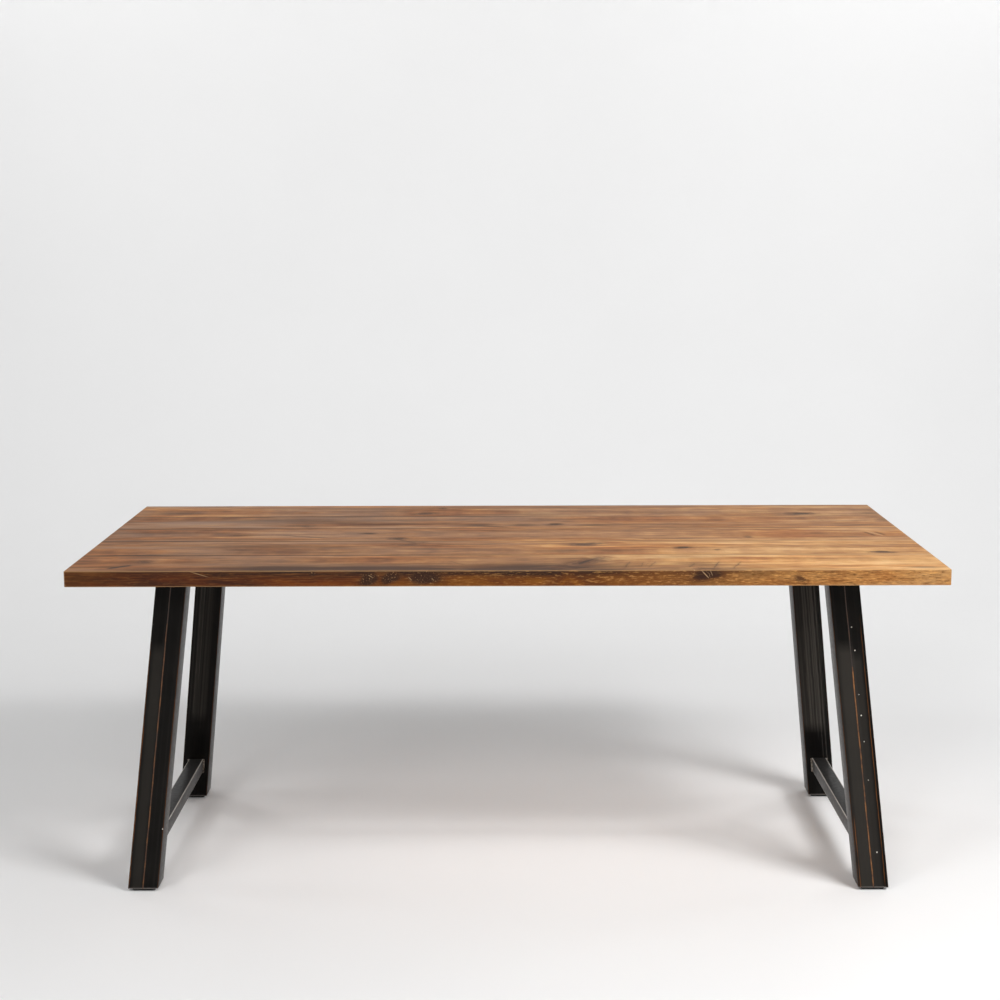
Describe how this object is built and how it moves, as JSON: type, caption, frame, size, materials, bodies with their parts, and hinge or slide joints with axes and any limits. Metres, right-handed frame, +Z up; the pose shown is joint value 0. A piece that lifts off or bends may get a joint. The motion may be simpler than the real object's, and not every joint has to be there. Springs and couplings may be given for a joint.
{
  "type": "dining table",
  "caption": "Rectangular dining table: knotty joined plank top on splayed box-section steel legs with a low stretcher between the legs of each end.",
  "frame": {"origin": "on the floor, under the middle of the table", "axes": "+X along the planks to the right, +Y from the front edge to the rear edge, +Z up"},
  "size_m": [1.9, 0.9, 0.75],
  "materials": {
    "plank_oak": "oiled rustic oak with knots",
    "spline_beech": "raw beech",
    "leg_steel": "blackened steel under clear wax, edges rubbed bronze",
    "seam_steel": "ground weld rubbed to bronze",
    "weld_steel": "weld bead, dull",
    "plate_steel": "blackened steel plate",
    "cap_steel": "blackened steel plate",
    "foot_rubber": "matt black",
    "insert_zinc": "zinc plated",
    "fastener_zinc": "zinc plated"
  },
  "bodies": {
    "root": {"foot_cap_front_left": "cap_steel", "foot_cap_front_right": "cap_steel", "foot_cap_rear_left": "cap_steel", "foot_cap_rear_right": "cap_steel", "foot_pad_front_left": "foot_rubber", "foot_pad_front_right": "foot_rubber", "foot_pad_rear_left": "foot_rubber", "foot_pad_rear_right": "foot_rubber", "foot_screws": "fastener_zinc", "leg_front_left": "leg_steel", "leg_front_right": "leg_steel", "leg_rear_left": "leg_steel", "leg_rear_right": "leg_steel", "leg_seam_front_left": "seam_steel", "leg_seam_front_right": "seam_steel", "leg_seam_rear_left": "seam_steel", "leg_seam_rear_right": "seam_steel", "leg_top_weld_front_left": "weld_steel", "leg_top_weld_front_right": "weld_steel", "leg_top_weld_rear_left": "weld_steel", "leg_top_weld_rear_right": "weld_steel", "mounting_plate_left": "plate_steel", "mounting_plate_right": "plate_steel", "plank_front": "plank_oak", "plank_front_inner": "plank_oak", "plank_middle": "plank_oak", "plank_rear": "plank_oak", "plank_rear_inner": "plank_oak", "plate_bolts_left": "fastener_zinc", "plate_bolts_right": "fastener_zinc", "plate_washers_left": "fastener_zinc", "plate_washers_right": "fastener_zinc", "spline_front": "spline_beech", "spline_front_inner": "spline_beech", "spline_rear": "spline_beech", "spline_rear_inner": "spline_beech", "stretcher_left": "leg_steel", "stretcher_right": "leg_steel", "stretcher_welds_left": "weld_steel", "stretcher_welds_right": "weld_steel", "top_inserts_left": "insert_zinc", "top_inserts_right": "insert_zinc"}
  },
  "joints": []
}
